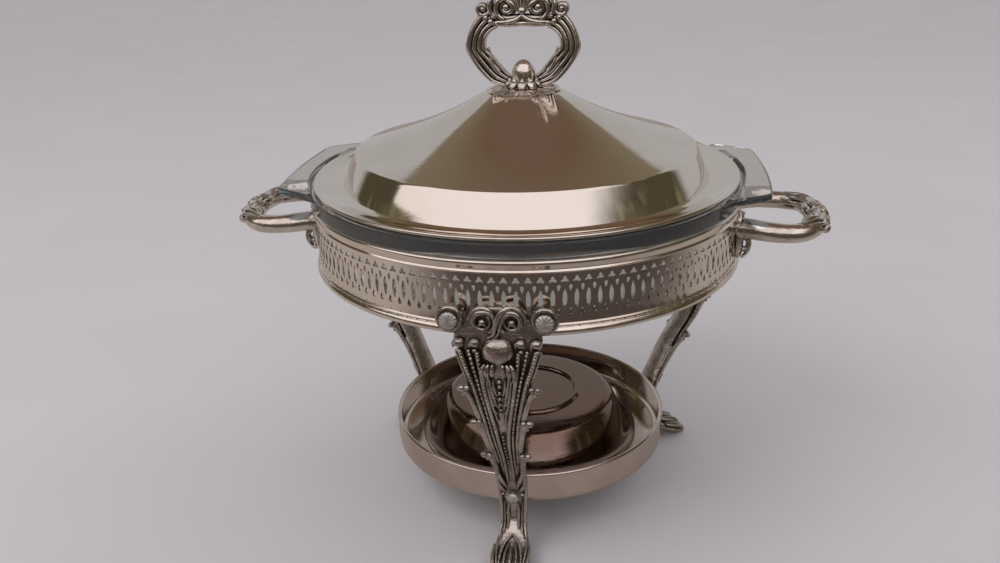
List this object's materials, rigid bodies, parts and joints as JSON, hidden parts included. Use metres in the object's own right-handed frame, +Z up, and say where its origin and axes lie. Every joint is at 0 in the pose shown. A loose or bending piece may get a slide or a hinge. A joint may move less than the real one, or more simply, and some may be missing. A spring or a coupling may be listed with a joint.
{
  "type": "round covered chafing dish stand",
  "caption": "Round warming stand with a pierced gallery on cast cabriole legs, burner tray, side handles, glass casserole with tabs and a lift-off conical cover with a loop finial.",
  "frame": {"origin": "on the dish's vertical axis at table level, where the feet stand", "axes": "+Z up; X runs through both handles and both glass tabs; one leg stands at -Y and the others at 30 and 150 degrees from +X"},
  "size_m": [0.325, 0.2434, 0.289],
  "materials": {
    "silver_sheet": "polished silver plate on thin sheet",
    "silver_cast": "polished casting with darkened recesses",
    "tray_sheet": "polished, slightly warm",
    "rivet_metal": "matte light grey",
    "clear_glass": "clear, teal at thick edges",
    "fastener_steel": "plain"
  },
  "bodies": {
    "stand": {"gallery_band": "silver_sheet", "gallery_low_bead": "silver_sheet", "gallery_top_bead": "silver_sheet", "leg_front": "silver_cast", "leg_rear_right": "silver_cast", "leg_rear_left": "silver_cast", "socket_rivets_front": "rivet_metal", "socket_rivets_rear_right": "rivet_metal", "socket_rivets_rear_left": "rivet_metal", "tray_rivet_front": "rivet_metal", "tray_rivet_rear_right": "rivet_metal", "tray_rivet_rear_left": "rivet_metal", "burner_tray": "tray_sheet", "burner_ring": "tray_sheet", "handle_right": "silver_cast", "handle_left": "silver_cast", "handle_rivets_right": "rivet_metal", "handle_rivets_left": "rivet_metal"},
    "dish": {"glass_dish": "clear_glass"},
    "cover": {"cover_shell": "silver_sheet", "cover_edge": "silver_sheet", "finial_leaf": "silver_cast", "finial_loop": "silver_cast", "finial_bud": "silver_cast", "finial_screw": "fastener_steel", "finial_washer": "fastener_steel", "finial_nut": "fastener_steel"}
  },
  "joints": [
    {"name": "dish_lift", "type": "slide", "parent": "stand", "child": "dish", "axis": [0, 0, 1], "range_m": [0, 0.12]},
    {"name": "cover_lift", "type": "slide", "parent": "dish", "child": "cover", "axis": [0, 0, 1], "range_m": [0, 0.1]}
  ]
}
